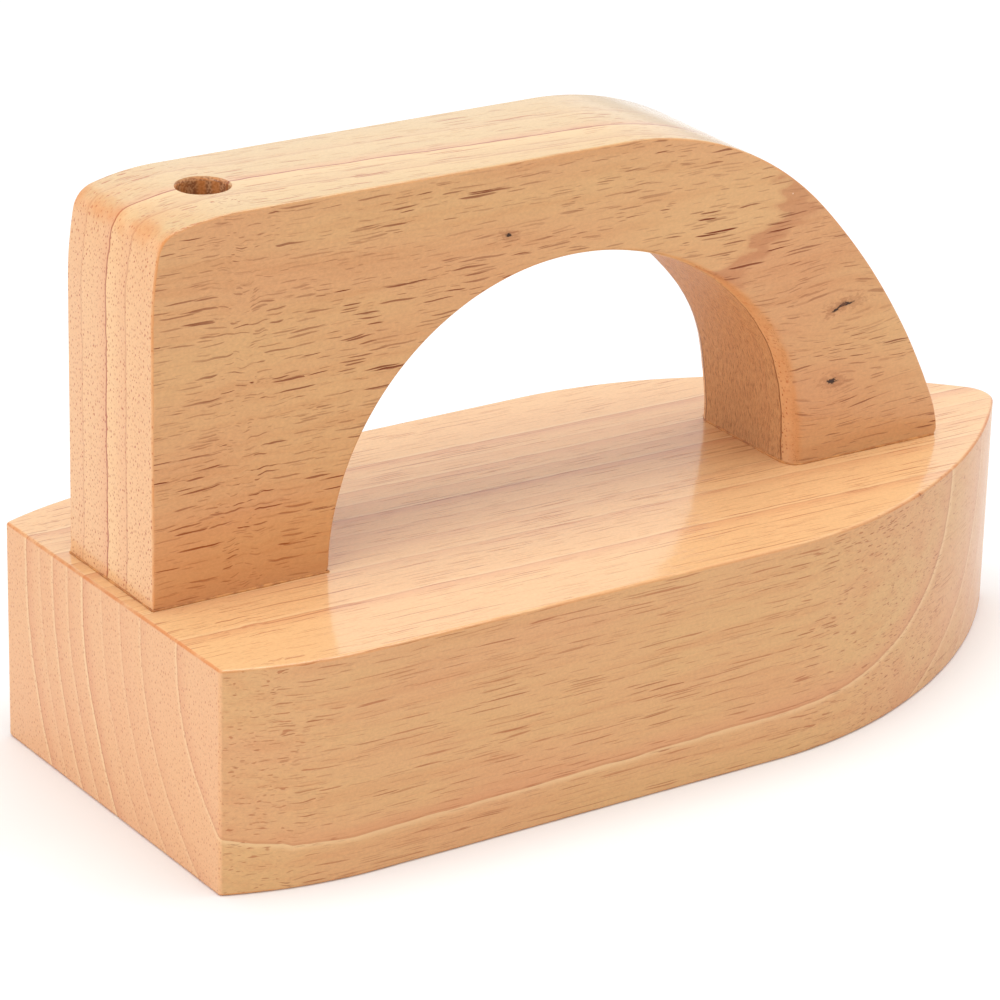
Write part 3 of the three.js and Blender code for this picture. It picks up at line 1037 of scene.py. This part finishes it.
def lay_edges(n, board, at, body, edge):
    """Edges are warmer, most of all at the ends, and a burr is left along the opening's wall."""
    tinge = n.times_plus(ramp(n, at.facing[0], 0.1, 0.5), 0.6, 0.4)
    body = lay(n, body, edge, n.times(tinge, board.edge_tinge), board.edge)
    wall = n.add("ShaderNodeAttribute", attribute_name="wall").outputs["Fac"]
    wander = noise(n, at.spot, BURR, board.shift + 49, 2.0)[0]
    burr = n.math("ABSOLUTE", n.minus(n.times_plus(wander, 0.5, wall), 0.95))
    burr = n.times(ramp(n, burr, 0.2, 0.05), at.by_opening)
    return lay(n, body, burr, BURR_TINGE, board.hair)


def lacquer(n, shader, at, pores, edge):
    """The flat tops hold a full coat of lacquer, the upright faces less, and the sawn wall almost none."""
    held = n.math("MAXIMUM", at.top, n.times(at.end, END_LACQUER))
    coat = n.times_plus(held, 1 - SIDE_LACQUER, SIDE_LACQUER)
    coat = n.times_plus(edge, EDGE_LACQUER, coat, clamp=True)
    coat = n.times(coat, n.times_plus(at.sawn, -0.6, 1))
    n.feed(shader.inputs["Coat Weight"], coat)
    rough = n.times_plus(pores, 0.2, 0.42)
    n.feed(shader.inputs["Roughness"], n.times_plus(at.wear, 0.08, rough))
    shader.inputs["Specular IOR Level"].default_value = 0.1
    shader.inputs["Coat Roughness"].default_value = 0.1
    shader.inputs["Coat IOR"].default_value = 1.5


def relief(n, board, at, pores):
    """Hollow pores, the lacquer's fine peel and slow waves, and the torn fibres of the sawn wall."""
    peel = noise(n, at.spot, PEEL, board.shift + 53, 2.0)[0]
    wave = noise(n, at.spot, WAVE, board.shift + 59, 1.0)[0]
    height = n.times_plus(pores, -PORE_DEPTH, n.times(peel, PEEL_DEPTH))
    height = n.times_plus(wave, WAVE_DEPTH, height)
    height = n.times_plus(n.times(at.sawn, at.torn), SAW_MARK_DEPTH, height)
    return n.out("ShaderNodeBump", {
        "Height": n.times(height, MM), "Distance": 1.0, "Strength": 1.0,
    })


def rubberwood(name, board):
    """Pale lacquered hardwood: growth rings, streaks, vessels, knots, end grain and a clear gloss coat."""
    material, shader, n = new_material(name)
    at = surface(n, board)
    pores = open_pores(n, board, at)
    edge = sanded_edge(n, at)

    body = plain_body(n, board, at)
    body = lay_rings(n, board, at, body)
    body = lay_streaks(n, board, at, body)
    body = lay_pores(n, board, at, body, pores)
    body = lay_soak(n, board, at, body)
    body = lay_tool_marks(n, board, at, body)
    body = lay_knots(n, board, at, body)
    body = lay_edges(n, board, at, body, edge)
    # Sparse near-white specks: partly dust, partly painted glints on the lacquer.
    dust_and_glints = specks(n, at.spot, DUST_AND_GLINT_SPACING, DUST_AND_GLINT_RADIUS, board.shift)
    n.feed(shader.inputs["Base Color"], lay(n, body, dust_and_glints, DUST_AND_GLINT_TINGE, DUST_AND_GLINT))

    lacquer(n, shader, at, pores, edge)
    bump = relief(n, board, at, pores)
    n.feed(shader.inputs["Normal"], bump)
    n.feed(shader.inputs["Coat Normal"], bump)
    return material


# ---- studio ----

def softbox(name, place, target, size, power):
    data = bpy.data.lights.new(name, "AREA")
    data.shape = "RECTANGLE"
    data.size, data.size_y = size
    data.energy = power
    light = placed(name, data)
    light.location = place
    light.rotation_euler = (Vector(target) - Vector(place)).to_track_quat("-Z", "Y").to_euler()


def make_floor():
    mesh = bpy.data.meshes.new("floor")
    corners = [(-FLOOR_HALF, -FLOOR_HALF, 0), (FLOOR_HALF, -FLOOR_HALF, 0),
               (FLOOR_HALF, FLOOR_HALF, 0), (-FLOOR_HALF, FLOOR_HALF, 0)]
    mesh.from_pydata(corners, [], [(0, 1, 2, 3)])
    paper, shader, _ = new_material("floor_paper")
    shader.inputs["Base Color"].default_value = (PAPER_SHADE, PAPER_SHADE, PAPER_SHADE, 1)
    shader.inputs["Roughness"].default_value = 0.9
    shader.inputs["Specular IOR Level"].default_value = 0.1
    mesh.materials.append(paper)
    floor = placed("floor", mesh)


def make_studio():
    make_floor()
    world = bpy.data.worlds.new("studio")
    world.use_nodes = True
    background = world.node_tree.nodes["Background"]
    background.inputs["Color"].default_value = (1.0, 1.0, 1.0, 1)
    background.inputs["Strength"].default_value = DOME_STRENGTH
    bpy.context.scene.world = world
    softbox("overhead", place=(0.0, -0.06, 1.0), target=(0, 0, 0.05), size=(1.1, 0.6), power=OVERHEAD_POWER)
    softbox("left", place=(-1.0, -0.15, 0.35), target=(0, 0, 0.04), size=(0.8, 0.6), power=LEFT_POWER)
    softbox("back", place=(0.75, 1.05, 0.5), target=(0, 0, 0.05), size=(1.8, 0.7), power=BACK_POWER)
    bpy.context.scene.view_settings.view_transform = "Standard"


# ---- the three woods and the glue ----

def wood(**own):
    """What sets one board's wood apart from a plain one without knots, opening or hole."""
    plain = {
        "place": (0.0, 0.0, 0.0), "turn": 0.0, "opening": 0.0, "hole": None, "knots": [], "hearts": [],
        "figure": 0.0, "runout": 0.0, "soak": 0.0, "flatness": 0.0, "top_dashes": 1.0,
    }
    return SimpleNamespace(**{**plain, **own})


# In each wood, the top colour is laid paler on the faces that look up: painted light from above.
BLOCK_WOOD = wood(
    place=(REAR_END, 0.0, 0.0), shift=2.0, figure=8.0,
    hearts=[((116.2, -27.0, BLOCK_HEIGHT - 0.2), (0.35, 0.35, 0.35), 0.0)],
    pith=(-45.0, 30.0), pale_reach=0.9,
    rings=[(27.0, 0.7), (36.5, 0.5), (42.0, 0.4), (47.0, 0.3), (52.3, 1.0), (56.4, 0.5), (60.5, 0.7),
           (64.2, 0.3), (68.2, 0.9)],
    runout=0.03, sway=1.2, ripple=0.4, banding=0.28, fibre=0.15, mottle=0.28,
    light="d9ab76", deep="d9a273", band="cd8c5c", end="e9b182", top="f2c48e",
    line="a9663e", pale="f6d6a4", late="d58e66", streak="a85c34", vessel="92400f", tick="ac440c",
    edge="d67c34", heart="3a2118", sawn="c98d58", hair="8a5028",
    late_tinge=0.5, pale_tinge=0.6, line_tinge=0.28, streaks=0.6, top_tinge=0.8,
    vessel_cell=(14.0, 0.36), small_cell=(7.0, 0.28), vessel_fill=0.36, vessel_tinge=0.65, flatness=-0.55,
    end_dots=0.8, edge_tinge=0.75,
)
HANDLE_WOOD = wood(
    place=(REAR_END + OPENING_MIDDLE, HANDLE_OFFSET, HANDLE_FOOT), turn=HANDLE_TURN, shift=9.0,
    opening=43.5, hole=(CORD_HOLE_X - OPENING_MIDDLE, CORD_HOLE_RADIUS), soak=1.0, figure=-52.0,
    knots=[((46.2, -11.6, 23.2), 6.0), ((45.1, -11.6, 11.8), 5.0)],
    hearts=[((46.9, -11.6, 23.3), (1.5, 3.0, 0.42), -0.1), ((45.2, -11.6, 22.7), (0.9, 3.0, 0.28), -0.45),
            ((45.1, -11.6, 11.8), (1.0, 3.0, 0.5), 0.15), ((-10.9, -11.6, 43.2), (0.7, 2.0, 0.3), 0.2)],
    pith=(400.0, 27.0), pale_reach=4.6, rings=[(404.3, 1.0), (397.5, 0.25), (409.6, 0.35)],
    runout=0.069, sway=2.2, ripple=0.8, banding=0.25, fibre=0.13, mottle=0.3,
    light="d9a975", deep="d79f6f", band="c6834f", end="eeba89", top="dbbc88",
    line="a04a28", pale="f6cc94", late="e09c76", streak="9c5c36", vessel="762a04", tick="a83400",
    edge="dc8c48", heart="1e0c08", sawn="dba270", hair="8a4c26",
    late_tinge=0.42, pale_tinge=0.45, line_tinge=0.8, streaks=0.25, top_tinge=0.8,
    vessel_cell=(14.0, 0.5), small_cell=(7.0, 0.38), vessel_fill=0.38, vessel_tinge=1.0, flatness=-0.35,
    top_dashes=0.75, end_dots=0.85, edge_tinge=0.65,
)
DOWEL_WOOD = wood(
    shift=21.0,
    pith=(-30.0, 0.0), pale_reach=0.8, rings=[(26.0, 0.5), (29.0, 1.0), (32.0, 0.6)],
    sway=0.6, ripple=0.2, banding=0.3, fibre=0.16, mottle=0.1,
    light="e9cfa2", deep="dfbf8e", band="d6b07c", end="dcb98a", top="e9cfa2",
    line="b8925f", pale="f0dcb4", late="cfa877", streak="b08a5c", vessel="8e6a42", tick="9a7448",
    edge="d8b482", heart="3a2118", sawn="d6b07c", hair="8e6a42",
    late_tinge=0.3, pale_tinge=0.3, line_tinge=0.3, streaks=0.3, top_tinge=0.0,
    vessel_cell=(5.0, 0.3), small_cell=(3.0, 0.25), vessel_fill=0.24, vessel_tinge=0.5,
    end_dots=0.5, edge_tinge=0.0,
)


def glue_material():
    """Dried glue under lacquer: amber, uneven and glossy."""
    material, shader, n = new_material("dried_glue")
    spot = n.vector("SCALE", n.add("ShaderNodeTexCoord").outputs["Object"])
    spot.node.inputs["Scale"].default_value = 1 / MM
    uneven = noise(n, spot, (1.5, 1.5, 1.5), 0.0, 3.0)[0]
    amber = blend(n, ramp(n, uneven, 0.3, 0.7), colour(GLUE_DARK), colour(GLUE_LIGHT))
    n.feed(shader.inputs["Base Color"], amber)
    n.feed(shader.inputs["Roughness"], n.times_plus(uneven, 0.3, 0.2))
    bump = n.out("ShaderNodeBump", {"Height": n.times(uneven, 0.05 * MM), "Distance": 1.0})
    n.feed(shader.inputs["Normal"], bump)
    return material


# ---- pieces ----

def make_block(tree):
    block = grown(outline_object("block_board", block_outline(), lambda point: BLOCK_EASE), tree, {
        "Thickness": BLOCK_HEIGHT * MM,
        "Place": (REAR_END * MM, 0, BLOCK_HEIGHT / 2 * MM),
        "Material": rubberwood("block_rubberwood", BLOCK_WOOD),
    })
    drill(block, [dowel_drill(x) for x in DOWEL_PLACES.values()])
    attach(block, "root")
    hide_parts("sole_block")


def make_handle(tree):
    turn = Euler((math.pi / 2, 0, HANDLE_TURN))
    middle = Vector((REAR_END + OPENING_MIDDLE, HANDLE_OFFSET, HANDLE_FOOT))
    handle = grown(outline_object("handle_board", handle_outline(), handle_ease), tree, {
        "Thickness": HANDLE_THICKNESS * MM,
        "Turn": turn,
        "Place": (middle - turn.to_matrix() @ Vector((OPENING_MIDDLE, 0, 0))) * MM,
        "Material": rubberwood("handle_rubberwood", HANDLE_WOOD),
    })
    drill(handle, [cord_drill()] + [dowel_drill(x) for x in DOWEL_PLACES.values()])
    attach(handle, "root")
    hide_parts("arch_handle")


def make_dowels():
    tree = dowel_tree()
    wood = rubberwood("dowel_beech", DOWEL_WOOD)
    for node, x in DOWEL_PLACES.items():
        start = placed("fluted_" + node, bpy.data.meshes.new("start"))
        foot = on_handle(x) + Vector((0, 0, BLOCK_HEIGHT + DOWEL_IN_HANDLE - DOWEL_LENGTH))
        dowel = grown(start, tree, {
            "Radius": DOWEL_RADIUS * MM, "Length": DOWEL_LENGTH * MM, "Chamfer": DOWEL_CHAMFER * MM,
            "Flutes": DOWEL_FLUTES, "Flute depth": FLUTE_DEPTH * MM, "Place": foot * MM, "Material": wood,
        })
        dowel.data.set_sharp_from_angle(angle=CRISP_ANGLE)
        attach(dowel, "root")
        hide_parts(node)


def make_glue():
    tree = glue_tree()
    amber = glue_material()
    inset = FOOT_EASE / 2
    inner, outer = handle_outline_at_foot()
    paths = [
        foot_path("glue_rear", HANDLE_REAR + inset, OPENING_REAR - inset, REAR_FOOT_CORNER),
        foot_path("glue_front", inner + inset, outer - inset, LEG_EASE),
    ]
    for path in paths:
        bead = grown(path, tree, {"Radius": GLUE_RADIUS * MM, "Material": amber})
        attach(bead, "root")


def handle_outline_at_foot():
    """Where the front foot starts and ends along the handle."""
    level = [point.x for point in handle_outline() if point.y < FOOT_LEVEL + FOOT_CORNER / 4]
    return min(x for x in level if x > OPENING_MIDDLE), max(level)


make_camera()
make_studio()
board_tree = eased_board_tree()
make_block(board_tree)
make_handle(board_tree)
make_dowels()
make_glue()
